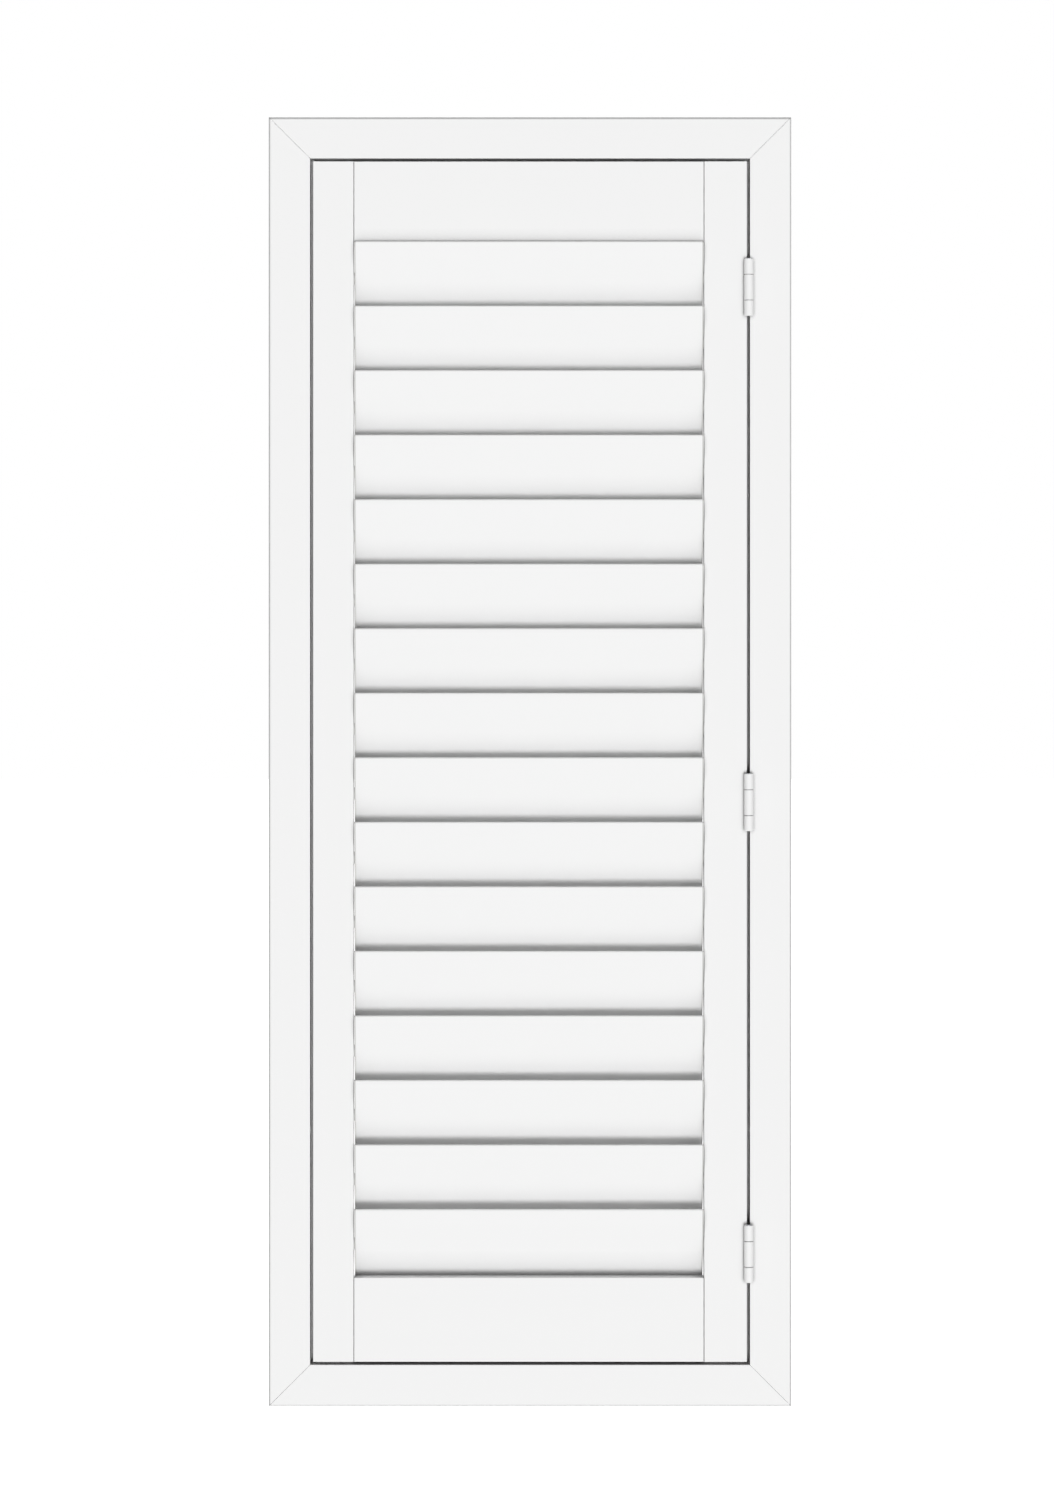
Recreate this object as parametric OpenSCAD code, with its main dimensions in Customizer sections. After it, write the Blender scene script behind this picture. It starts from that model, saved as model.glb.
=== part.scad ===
// Louvred window shutter: one hinged panel of tilting blades in a mitred frame.
// All long pieces are coated aluminium extrusions; blades turn together by a hidden rack.
// X runs to the viewer's right, Y away from the viewer, Z up. Millimetres.
// The origin is the middle of the frame's underside.

/* [Frame] */
// Width over the frame
frame_w = 600; // [480:1:800]
// Face width of each frame member
frame_face = 47.5; // [42:0.5:60]
// Depth of the frame, front to back
frame_d = 46; // [42:0.5:70]
// Wall of the frame extrusion
frame_wall = 2; // [1.5:0.1:2.5]
// Rounding of the frame's outer edges
outer_arris_r = 3; // [1:0.1:3]
// Rounding of the frame's inner edges and of the panel's long edges
arris_r = 0.5; // [0.3:0.1:1.5]
// Gap along each mitred corner
mitre_gap = 0.3; // [0.1:0.05:0.4]
// Thickness of the stop fin
stop_t = 2.5; // [2:0.1:3.5]
// Width of the seal on the stop fin
seal_w = 4.5; // [3:0.5:4.5]
// Thickness of the seal
seal_t = 1.5; // [1.4:0.1:3]
// Distance of the seal from the panel's edge
seal_inset = 0.5; // [0.3:0.1:2]
// Gap between the closed panel and the seal
seal_gap = 0.3; // [0.3:0.1:0.6]
// Length of a corner cleat's legs from the outer corner
cleat_leg = 90; // [70:1:120]
// Skin of the hollow corner cleats
cleat_wall = 4; // [3:0.5:6]
// Clearance of a cleat in its chamber
cleat_gap = 0.2; // [0.1:0.05:0.3]
// Distance between the two wall fixings of a jamb
fixing_span = 850; // [700:10:900]
// Radius of a wall fixing hole
fixing_r = 3.25; // [2.5:0.05:4]
// Radius of the driver hole in front of each wall fixing
driver_r = 6; // [5:0.5:8]

/* [Panel] */
// Gap between frame and panel all round
panel_gap = 3.5; // [3.2:0.1:5]
// Thickness of the panel
panel_t = 22; // [21:0.5:28]
// Wall of the stile and rail extrusions
panel_wall = 2; // [1.5:0.1:2.5]
// Width of the stile at the hinges
hinge_stile_w = 49; // [40:0.5:65]
// Width of the stile at the catches
latch_stile_w = 46.5; // [40:0.5:65]
// Height of the top and bottom rails
rail_h = 96.5; // [80:0.5:130]
// Joint line between a rail's sawn end and the stile
rail_joint = 0.6; // [0.2:0.1:0.8]
// Outer radius of a rail's screw ports
port_r = 4.5; // [4.2:0.1:6]
// Radius of the rail screws
rail_screw_r = 2.4; // [2:0.1:3]
// Length of the rail screws under the head
rail_screw_l = 32; // [20:1:50]
// Radius of the rail screw heads
rail_head_r = 4.2; // [3.6:0.1:4.6]
// Height of the rail screw heads
rail_head_h = 2.6; // [2:0.1:4]
// Clearance of the driver holes round the rail screw heads
rail_driver_gap = 1; // [0.5:0.1:1.5]

/* [Louvres] */
// Width of a blade over its edges
louvre_w = 90; // [84:0.5:96]
// Thickness at the middle of a blade
louvre_t = 12; // [11:0.5:13]
// Radius of a blade's edges
louvre_edge_r = 2; // [1.6:0.1:2.4]
// Wall of the blade extrusion
louvre_wall = 1.4; // [1:0.1:1.8]
// Distance between blade pivots
louvre_pitch = 74; // [70:0.5:80]
// Lean of the closed blades from upright
closed_tilt = 21; // [18:0.5:26]
// Gap between a closed end blade and its rail
closing_gap = 0.4; // [0.3:0.1:1]
// Clearance at each end of a blade
end_gap = 0.9; // [0.9:0.1:1.5]
// Thickness of the end caps
cap_t = 1.5; // [1:0.1:2.5]
// Distance from the blade's middle to its inner webs
web_x = 13; // [10:0.5:16]
// Length of a cap's plug inside the blade
plug_l = 20; // [12:1:30]
// Clearance of the plug in the blade
plug_gap = 0.2; // [0.1:0.05:0.3]

/* [Tilt mechanism] */
// Radius of the blade spindles
spindle_r = 4; // [3.6:0.1:4.5]
// Radial clearance of a spindle in its bush
spindle_gap = 0.05; // [0.02:0.01:0.1]
// Wall of the nylon bushes
bush_wall = 1; // [0.8:0.1:1.5]
// Thickness of the bush flanges
flange_t = 0.6; // [0.4:0.1:0.7]
// Width of the bush flanges past the hole
flange_rim = 2; // [1:0.5:3]
// Tooth module of rack and pinions
tooth_module = 0.9; // [0.85:0.05:0.95]
// Teeth on each pinion
pinion_teeth = 12; // [12:1:12]
// Pressure angle of the teeth
pressure_angle = 25; // [24:1:26]
// Play between the teeth
backlash = 0.15; // [0.1:0.01:0.25]
// Face width of the pinions
pinion_face = 7; // [5:0.5:9]
// Side of the square drive
drive_side = 5.2; // [4.6:0.1:5.4]
// Clearance of the square drive in its pinion
drive_gap = 0.05; // [0.02:0.01:0.1]
// Clearance of the rack in its guide
rack_gap = 0.3; // [0.3:0.05:0.5]
// Teeth cut for each pinion
rack_teeth = 9; // [9:1:10]

/* [Hinges and catches] */
// Drop from the panel's top to the top hinge's middle
hinge_top_drop = 145; // [100:1:200]
// Rise from the panel's bottom to the bottom hinge's middle
hinge_bottom_rise = 125; // [100:1:200]
// Drop from the panel's middle to the middle hinge's middle
hinge_mid_drop = 46.5; // [0:0.5:80]
// Radius of the hinge barrel
barrel_r = 5.5; // [5:0.1:6.5]
// Length of the two end knuckles
end_knuckle = 18; // [14:0.5:22]
// Length of the middle knuckle
mid_knuckle = 29.5; // [24:0.5:36]
// Axial gap between knuckles
knuckle_gap = 0.6; // [0.2:0.05:0.8]
// Gap between the barrel and the faces behind it
barrel_gap = 0.3; // [0.3:0.05:0.6]
// Gap between a leaf's plate and the other leaf's knuckle
leaf_relief = 0.4; // [0.3:0.05:0.6]
// Radius of the hinge pin
pin_r = 2.5; // [2:0.1:3]
// Radial clearance of the hinge pin
pin_gap = 0.05; // [0.02:0.01:0.1]
// Height of the pin's flat head
pin_head_h = 0.8; // [0.5:0.1:1.5]
// Thickness of the hinge leaves
leaf_t = 1.5; // [1.2:0.1:1.5]
// Depth of the leaves between frame and panel
leaf_depth = 16; // [14:0.5:18]
// Radius of the hinge screws
hinge_screw_r = 1.75; // [1.5:0.05:2]
// Radius of the countersunk heads
hinge_head_r = 3.4; // [3:0.1:3.8]
// Length of the hinge screws
hinge_screw_l = 11; // [8:0.5:14]
// Distance between the hinge screws
hinge_screw_span = 24; // [20:0.5:26]
// Clearance round every screw
screw_gap = 0.05; // [0.02:0.01:0.1]
// Distance between the two magnetic catches
catch_span = 600; // [400:10:900]
// Height of a catch magnet
magnet_h = 30; // [20:1:40]
// Width of a catch magnet
magnet_w = 5.2; // [4:0.1:5.4]
// Width of the fin left on each side of a magnet
magnet_lip = 0.9; // [0.8:0.1:2]
// Clearance of a magnet in its slot
magnet_gap = 0.1; // [0.05:0.05:0.2]
// Gap between a magnet and its strike plate
catch_gap = 0.5; // [0.4:0.1:0.7]
// Thickness of a strike plate
strike_t = 0.6; // [0.5:0.1:0.8]
// Rim of a strike plate past its magnet
strike_rim = 0.5; // [0.3:0.1:0.6]

/* [Hidden] */
coat = "whitesmoke";
nylon = "gainsboro";
steel = "silver";
louvre_n = 16;
smooth = 96;
wide_arc = 360;
cut = 1;

function two_digits(i) = str(i < 10 ? "0" : "", i);
function louvre_name(i) = str("louvre_", two_digits(i));
function fittings_name(i) = str(louvre_name(i), "_fittings");

HINGES = ["top", "middle", "bottom"];

// Blade section: two wide arcs that run smoothly into the round edges
edge_x = louvre_w / 2 - louvre_edge_r;
face_arc_r = (pow(edge_x, 2) + pow(louvre_t / 2, 2) - pow(louvre_edge_r, 2)) / (louvre_t - 2 * louvre_edge_r);
arc_back = face_arc_r - louvre_t / 2;
edge_start = edge_x * face_arc_r / (face_arc_r - louvre_edge_r);
cell_end = edge_x - 2 * louvre_edge_r;

// Nearest that a rail's corner may stand to the end blade's pivot, with the blade closed on it
corner_reach = sqrt(pow(face_arc_r + closing_gap, 2) - pow(arc_back * cos(closed_tilt) - panel_t / 2, 2));
rail_margin = corner_reach - arc_back * sin(closed_tilt);

// Heights, from the sill's underside
panel_bottom = frame_face + panel_gap;
low_pivot = panel_bottom + rail_h + rail_margin;
top_pivot = low_pivot + (louvre_n - 1) * louvre_pitch;
top_rail_z = top_pivot + rail_margin;
panel_top = top_rail_z + rail_h;
frame_h = panel_top + panel_gap + frame_face;
function pivot_z(i) = top_pivot - (i - 1) * louvre_pitch;

// Places across the width and the depth
front_y = -frame_d / 2;
back_y = front_y + panel_t;
pivot_y = front_y + panel_t / 2;
panel_edge = frame_w / 2 - frame_face - panel_gap;
latch_inner = -panel_edge + latch_stile_w;
hinge_inner = panel_edge - hinge_stile_w;
rail_l = hinge_inner - latch_inner - 2 * rail_joint;
blade_left = latch_inner + end_gap + cap_t;
blade_right = hinge_inner - end_gap - cap_t;

// Frame section: the fin stands behind the panel, with room for the seal
fin_v = panel_t + seal_gap + seal_t;
seal_u = frame_face + panel_gap + seal_inset;
fixing_v = (frame_wall + fin_v) / 2;
fixing_z = [frame_h / 2 - fixing_span / 2, frame_h / 2 + fixing_span / 2];
magnet_u = seal_u + seal_w + magnet_lip + magnet_w / 2;
stop_reach = magnet_u + magnet_w / 2 + magnet_lip - frame_face;
catch_z = [frame_h / 2 - catch_span / 2, frame_h / 2 + catch_span / 2];
slot_w = magnet_w + 2 * magnet_gap;
slot_h = magnet_h + 2 * magnet_gap;

// Rack and pinion: the pinions stand on the blade spindles, the rack runs behind them
stub_share = 0.8;
root_share = 1.05;
flank_steps = 4;
pitch_r = tooth_module * pinion_teeth / 2;
tooth_pitch = PI * tooth_module;
addendum = stub_share * tooth_module;
dedendum = root_share * tooth_module;
base_r = pitch_r * cos(pressure_angle);
half_tooth = (tooth_pitch / 2 - backlash / 2) / 2;
rack_line = pivot_y + pitch_r;
rack_back = back_y - panel_wall - rack_gap;
bush_r = spindle_r + spindle_gap + bush_wall;
bush_l = panel_wall + bush_wall;
pinion_right = latch_inner - bush_l - rack_gap;
pinion_left = pinion_right - pinion_face;
rack_lead = 0.75;
rack_end = 6;

// Hinges
axis_x = frame_w / 2 - frame_face - panel_gap / 2;
axis_y = front_y - barrel_gap - barrel_r;
barrel_l = 2 * end_knuckle + mid_knuckle;
leaf_start = barrel_r + leaf_relief;
leaf_end = barrel_r + barrel_gap + leaf_depth;
leaf_out = panel_gap / 2;
screw_y = (leaf_start + leaf_end) / 2;
hinge_z = [
    panel_top - hinge_top_drop,
    (panel_top + panel_bottom) / 2 - hinge_mid_drop,
    panel_bottom + hinge_bottom_rise
];
hinge_screw_z = [-hinge_screw_span, 0, hinge_screw_span];

// Rectangle with softened corners, from the origin
module soft_rect(w, d, r) {
    translate([r, 0]) square([w - 2 * r, d]);
    translate([0, r]) square([w, d - 2 * r]);
    for (x = [r, w - r], y = [r, d - r])
        translate([x, y]) circle(r, $fn = smooth);
}

// Turns a section drawn as depth and height into a bar along X
module along_x(x, length)
    translate([x, 0, 0]) rotate([90, 0, 90]) linear_extrude(length) children();

// Round bar along X
module x_rod(x0, x1, r)
    translate([x0, 0, 0]) rotate([0, 90, 0]) cylinder(r = r, h = x1 - x0, $fn = smooth);

// Frame extrusion: inward from the outer edge, then back from the face
module frame_section() {
    chamber_w = frame_face - 2 * frame_wall;
    difference() {
        union() {
            soft_rect(frame_face / 2, frame_d, outer_arris_r);
            translate([outer_arris_r, 0]) soft_rect(frame_face - outer_arris_r, frame_d, arris_r);
            translate([frame_face - frame_wall, fin_v])
                square([stop_reach + frame_wall, stop_t]);
        }
        translate([frame_wall, frame_wall])
            square([chamber_w, fin_v - frame_wall]);
        translate([frame_wall, fin_v + stop_t])
            square([chamber_w, frame_d - frame_wall - fin_v - stop_t]);
    }
}

// One frame member, cut to a mitre at both ends
module frame_member(length) {
    reach = frame_face + stop_reach;
    play = mitre_gap / sqrt(2);
    intersection() {
        linear_extrude(length) frame_section();
        translate([0, frame_d, 0]) rotate([90, 0, 0]) linear_extrude(frame_d)
            polygon([
                [0, play],
                [reach, reach + play],
                [reach, length - reach - play],
                [0, length - play]
            ]);
    }
}

// Upright member with its wall fixing holes, at the left
module frame_jamb() {
    translate([-frame_w / 2, front_y, 0]) difference() {
        frame_member(frame_h);
        for (z = fixing_z) translate([0, fixing_v, z]) {
            x_rod(-cut, frame_wall + cut, fixing_r);
            x_rod(frame_face - frame_wall - cut, frame_face + cut, driver_r);
        }
    }
}

module frame_sill()
    color(coat) translate([-frame_w / 2, front_y, 0]) mirror([1, 0, -1]) frame_member(frame_w);

module frame_head()
    color(coat) translate([0, 0, frame_h]) mirror([0, 0, 1]) frame_sill();

module frame_hinge_jamb()
    color(coat) difference() {
        mirror([1, 0, 0]) frame_jamb();
        for (h = hinge_z, z = hinge_screw_z)
            translate([axis_x, axis_y + screw_y, h + z])
                x_rod(0, leaf_out + frame_wall + cut, hinge_screw_r + screw_gap);
    }

module frame_latch_jamb()
    color(coat) difference() {
        frame_jamb();
        for (z = catch_z)
            catch_block(z, slot_w / 2, slot_h / 2, fin_v - cut, fin_v + stop_t + cut);
    }

// Upright block at the latch jamb's stop fin, given by its half sizes and its depths
module catch_block(z, half_w, half_h, v0, v1)
    translate([-frame_w / 2 + magnet_u - half_w, front_y + v0, z - half_h])
        cube([2 * half_w, v1 - v0, 2 * half_h]);

module catch_magnets()
    color("dimgray") for (z = catch_z)
        catch_block(z, magnet_w / 2, magnet_h / 2, panel_t + strike_t + catch_gap, fin_v + stop_t);

module catch_plates()
    color(steel) for (z = catch_z)
        catch_block(z, magnet_w / 2 + strike_rim, magnet_h / 2 + strike_rim, panel_t, panel_t + strike_t);

// Hollow L that joins two members inside the front chamber, at the lower left corner
module corner_cleat() {
    low = frame_wall + cleat_gap;
    high = frame_face - frame_wall - cleat_gap;
    depth = fin_v - frame_wall - 2 * cleat_gap;
    translate([-frame_w / 2, front_y + frame_wall + cleat_gap + depth, 0]) rotate([90, 0, 0])
        linear_extrude(depth) difference() {
            corner_outline(low, high, cleat_leg);
            corner_outline(low + cleat_wall, high - cleat_wall, cleat_leg - cleat_wall);
        }
}

// L outline from one corner, with two legs of one length
module corner_outline(low, high, leg)
    polygon([[low, low], [leg, low], [leg, high], [high, high], [high, leg], [low, leg]]);

module corner_cleats()
    color(steel) for (x = [0, 1], z = [0, 1])
        translate([0, 0, z * frame_h]) mirror([x, 0, 0]) mirror([0, 0, z]) corner_cleat();

module stop_seal() {
    inner_w = frame_w - 2 * (seal_u + seal_w + seal_gap);
    color("darkgray") translate([0, front_y + fin_v - seal_t, 0]) {
        for (side = [0, 1]) mirror([side, 0, 0])
            translate([-frame_w / 2 + seal_u, 0, seal_u])
                cube([seal_w, seal_t, frame_h - 2 * seal_u]);
        for (z = [seal_u, frame_h - seal_u - seal_w])
            translate([-inner_w / 2, 0, z]) cube([inner_w, seal_t, seal_w]);
    }
}

// Hollow upright of the panel, from its left edge
module stile_tube(w)
    translate([0, front_y, panel_bottom]) linear_extrude(panel_top - panel_bottom) difference() {
        soft_rect(w, panel_t, arris_r);
        translate([panel_wall, panel_wall]) square([w - 2 * panel_wall, panel_t - 2 * panel_wall]);
    }

// Heights of a rail's webs, and of the screws that go into their ports
web_z = [rail_h / 3, rail_h * 2 / 3];
rail_screw_z = [for (base = [panel_bottom, top_rail_z], web = web_z) base + web];

// Holes of a stile: bushes and rail screws in the inner wall, driver holes in the outer wall
module stile_holes(inner, outer) {
    side = sign(outer - inner);
    low = min(inner - side * cut, inner + side * (panel_wall + cut));
    far = min(outer + side * cut, outer - side * (panel_wall + cut));
    through = panel_wall + 2 * cut;
    for (i = [1:louvre_n]) translate([0, pivot_y, pivot_z(i)])
        x_rod(low, low + through, bush_r);
    for (z = rail_screw_z) translate([0, pivot_y, z]) {
        x_rod(low, low + through, rail_screw_r + screw_gap);
        x_rod(far, far + through, rail_head_r + rail_driver_gap);
    }
}

module hinge_stile()
    color(coat) difference() {
        translate([hinge_inner, 0, 0]) stile_tube(hinge_stile_w);
        stile_holes(hinge_inner, panel_edge);
        for (h = hinge_z, z = hinge_screw_z)
            translate([axis_x, axis_y + screw_y, h + z])
                x_rod(-leaf_out - panel_wall - cut, 0, hinge_screw_r + screw_gap);
    }

module latch_stile()
    color(coat) difference() {
        union() {
            translate([-panel_edge, 0, 0]) stile_tube(latch_stile_w);
            rack_rib();
        }
        stile_holes(latch_inner, -panel_edge);
    }

// Rib down the inside of the latch stile that guides the rack
module rack_rib() {
    rib_depth = back_y - rack_line - dedendum + panel_wall;
    translate([pinion_left - rack_gap - panel_wall, back_y - rib_depth - panel_wall / 2, panel_bottom])
        cube([panel_wall, rib_depth, panel_top - panel_bottom]);
}

// Rail extrusion: two webs, each with a round screw port
module rail_section()
    difference() {
        union() {
            difference() {
                soft_rect(panel_t, rail_h, arris_r);
                translate([panel_wall, panel_wall])
                    square([panel_t - 2 * panel_wall, rail_h - 2 * panel_wall]);
            }
            for (z = web_z) {
                translate([panel_wall / 2, z - panel_wall / 2]) square([panel_t - panel_wall, panel_wall]);
                translate([panel_t / 2, z]) circle(port_r, $fn = smooth);
            }
        }
        for (z = web_z) translate([panel_t / 2, z]) circle(rail_screw_r + screw_gap, $fn = smooth);
    }

module rail(z)
    translate([0, front_y, z]) along_x(latch_inner + rail_joint, rail_l) rail_section();

module top_rail() color(coat) rail(top_rail_z);

module bottom_rail() color(coat) rail(panel_bottom);

// Screw from inside a stile into a rail's port, pointing along +X from under its head
module rail_screw() {
    x_rod(0, rail_screw_l, rail_screw_r);
    x_rod(-rail_head_h, 0, rail_head_r);
}

module rail_screws()
    color(steel) for (z = rail_screw_z) {
        translate([latch_inner - panel_wall, pivot_y, z]) rail_screw();
        translate([hinge_inner + panel_wall, pivot_y, z]) mirror([1, 0, 0]) rail_screw();
    }

// Nylon bush along +X, its flange against the stile's face at x = 0
module bush()
    difference() {
        union() {
            x_rod(0, bush_l, bush_r);
            x_rod(-flange_t, 0, bush_r + flange_rim);
        }
        x_rod(-flange_t - cut, bush_l + cut, spindle_r + spindle_gap);
    }

module hinge_stile_bushes()
    color(nylon) for (i = [1:louvre_n])
        translate([hinge_inner, pivot_y, pivot_z(i)]) bush();

module latch_stile_bushes()
    color(nylon) for (i = [1:louvre_n])
        translate([latch_inner, pivot_y, pivot_z(i)]) mirror([1, 0, 0]) bush();

// Lens between the two wide arcs, drawn as thickness and width
module lens(inset)
    intersection_for (side = [-1, 1])
        translate([side * arc_back, 0]) circle(face_arc_r - inset, $fn = wide_arc);

// Outline of a blade
module louvre_outline() {
    intersection() {
        lens(0);
        square([2 * louvre_t, 2 * edge_start], center = true);
    }
    for (side = [-1, 1])
        translate([0, side * edge_x]) circle(louvre_edge_r, $fn = smooth);
}

// Hollow blade section with two inner webs
module louvre_section()
    difference() {
        louvre_outline();
        difference() {
            intersection() {
                lens(louvre_wall);
                square([louvre_t, 2 * cell_end], center = true);
            }
            for (side = [-1, 1]) translate([0, side * web_x])
                square([louvre_t, louvre_wall], center = true);
        }
    }

// Puts a blade's pieces on its pivot, leaning as the closed blade does
module on_pivot(i)
    translate([0, pivot_y, pivot_z(i)]) rotate([closed_tilt, 0, 0]) children();

module louvre(i)
    color(coat) on_pivot(i) along_x(blade_left, blade_right - blade_left) louvre_section();

// Plug of an end cap, in the blade's middle cell
module cap_plug(x) {
    width = 2 * (web_x - louvre_wall / 2 - plug_gap);
    room = sqrt(pow(face_arc_r - louvre_wall, 2) - pow(width / 2, 2)) - arc_back;
    depth = 2 * (room - plug_gap);
    translate([x, -depth / 2, -width / 2]) cube([plug_l, depth, width]);
}

// Cap at the hinge stile, with a plain spindle
module idle_cap() {
    along_x(blade_right, cap_t) louvre_outline();
    cap_plug(blade_right - plug_l);
    x_rod(blade_right, hinge_inner + bush_l, spindle_r);
}

// Cap at the latch stile, with a square drive past its spindle
module drive_cap() {
    along_x(blade_left - cap_t, cap_t) louvre_outline();
    cap_plug(blade_left);
    x_rod(latch_inner - bush_l, blade_left, spindle_r);
    translate([pinion_left, -drive_side / 2, -drive_side / 2])
        cube([blade_left - pinion_left, drive_side, drive_side]);
}

// Half the angle that a pinion tooth spans at radius r
function involute(a) = tan(a) * 180 / PI - a;
function half_angle(r) =
    half_tooth / pitch_r * 180 / PI + involute(pressure_angle) - involute(acos(min(1, base_r / r)));

// Pinion, with a gap between two teeth facing the rack
module pinion() {
    tip_r = pitch_r + addendum;
    root_r = pitch_r - dedendum;
    flank = [for (step = [0:flank_steps]) base_r + (tip_r - base_r) * step / flank_steps];
    rising = concat([root_r], flank);
    falling = [for (k = [len(rising) - 1:-1:0]) rising[k]];
    teeth = [
        for (tooth = [0:pinion_teeth - 1])
            let (middle = 360 / pinion_teeth * (tooth + 0.5))
                each concat(
                    [for (r = rising) let (a = middle - half_angle(max(r, base_r))) [r * cos(a), r * sin(a)]],
                    [for (r = falling) let (a = middle + half_angle(max(r, base_r))) [r * cos(a), r * sin(a)]]
                )
    ];
    along_x(pinion_left, pinion_face) polygon(teeth);
}

module drive_pinion()
    difference() {
        rotate([-closed_tilt, 0, 0]) pinion();
        translate([pinion_left - cut, -drive_side / 2 - drive_gap, -drive_side / 2 - drive_gap])
            cube([pinion_face + 2 * cut, drive_side + 2 * drive_gap, drive_side + 2 * drive_gap]);
    }

module louvre_fittings(i)
    color(nylon) on_pivot(i) {
        idle_cap();
        drive_cap();
        drive_pinion();
    }

// Rack: a strip down the latch stile with a short run of teeth behind each pinion
module tilt_rack() {
    first = -round(rack_teeth * rack_lead);
    tip = rack_line - addendum;
    root = rack_line + dedendum;
    tip_half = half_tooth - addendum * tan(pressure_angle);
    root_half = half_tooth + dedendum * tan(pressure_angle);
    low = low_pivot + (first - 1) * tooth_pitch - rack_end;
    high = top_pivot + (first + rack_teeth) * tooth_pitch + rack_end;
    toothed = [
        for (i = [louvre_n:-1:1], k = [0:rack_teeth - 1])
            let (z = pivot_z(i) + (first + k) * tooth_pitch)
                each [[root, z - root_half], [tip, z - tip_half], [tip, z + tip_half], [root, z + root_half]]
    ];
    color(nylon) along_x(pinion_left, pinion_face)
        polygon(concat([[rack_back, low], [root, low]], toothed, [[root, high], [rack_back, high]]));
}

// Knuckle of the hinge barrel between two heights, its lower rim rounded by rim_r
module knuckle(z0, z1, rim_r)
    translate([0, 0, z0]) rotate_extrude($fn = smooth) {
        translate([0, rim_r]) square([barrel_r, z1 - z0 - rim_r]);
        square([barrel_r - rim_r, z1 - z0]);
        translate([barrel_r - rim_r, rim_r]) circle(rim_r, $fn = smooth);
    }

// Leaf plate on the frame's side of the axis, with tongues to the given knuckle spans
module leaf(spans) {
    inner = leaf_out - leaf_t;
    translate([inner, leaf_start, -barrel_l / 2]) cube([leaf_t, leaf_end - leaf_start, barrel_l]);
    for (s = spans)
        translate([inner, 0, s[0]]) cube([leaf_t, leaf_start + cut, s[1] - s[0]]);
}

// Countersunk screw along +X, its head flush with the leaf's inner face, enlarged by gap
module hinge_screw(gap) {
    x_rod(leaf_out - leaf_t, leaf_out - leaf_t + hinge_screw_l + gap, hinge_screw_r + gap);
    translate([leaf_out - leaf_t, 0, 0]) rotate([0, 90, 0])
        cylinder(r1 = hinge_head_r + gap, r2 = hinge_screw_r + gap, h = leaf_t, $fn = smooth);
}

module leaf_screws(gap)
    for (z = hinge_screw_z) translate([0, screw_y, z]) hinge_screw(gap);

module pin_bore()
    cylinder(r = pin_r + pin_gap, h = barrel_l + 2 * cut, center = true, $fn = smooth);

end_spans = [
    [-barrel_l / 2, -mid_knuckle / 2 - knuckle_gap / 2],
    [mid_knuckle / 2 + knuckle_gap / 2, barrel_l / 2]
];
mid_span = [-mid_knuckle / 2 + knuckle_gap / 2, mid_knuckle / 2 - knuckle_gap / 2];
foot_r = 1.5;
rim_r = 0.4;

module hinge_frame_leaf(h)
    color(coat) translate([axis_x, axis_y, hinge_z[h]]) difference() {
        union() {
            leaf(end_spans);
            knuckle(end_spans[0][0], end_spans[0][1], foot_r);
            knuckle(end_spans[1][0], end_spans[1][1], rim_r);
        }
        pin_bore();
        leaf_screws(screw_gap);
    }

module hinge_panel_leaf(h)
    color(coat) translate([axis_x, axis_y, hinge_z[h]]) difference() {
        union() {
            mirror([1, 0, 0]) leaf([mid_span]);
            knuckle(mid_span[0], mid_span[1], rim_r);
        }
        pin_bore();
        mirror([1, 0, 0]) leaf_screws(screw_gap);
    }

module hinge_pin(h)
    color(steel) translate([axis_x, axis_y, hinge_z[h]]) {
        translate([0, 0, -barrel_l / 2]) cylinder(r = pin_r, h = barrel_l, $fn = smooth);
        translate([0, 0, barrel_l / 2])
            cylinder(r = (barrel_r + pin_r) / 2, h = pin_head_h, $fn = smooth);
    }

module frame_hinge_screws()
    color(steel) for (h = hinge_z) translate([axis_x, axis_y, h]) leaf_screws(0);

module panel_hinge_screws()
    color(steel) for (h = hinge_z) translate([axis_x, axis_y, h]) mirror([1, 0, 0]) leaf_screws(0);

frame_head();
frame_sill();
frame_hinge_jamb();
frame_latch_jamb();
corner_cleats();
stop_seal();
catch_magnets();
catch_plates();
hinge_stile();
latch_stile();
top_rail();
bottom_rail();
rail_screws();
hinge_stile_bushes();
latch_stile_bushes();
tilt_rack();
frame_hinge_screws();
panel_hinge_screws();
for (h = [0:len(HINGES) - 1]) {
    hinge_frame_leaf(h);
    hinge_panel_leaf(h);
    hinge_pin(h);
}
for (i = [1:louvre_n]) {
    louvre(i);
    louvre_fittings(i);
}
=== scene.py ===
# Looks of a louvred window shutter: the mitred frame, the hinged panel, its blades, fittings and hinges,
# then floor, light and camera. Metres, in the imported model's own frame: +X to the viewer's right, +Y away.
import math

import bpy
from mathutils import Matrix, Vector


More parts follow.
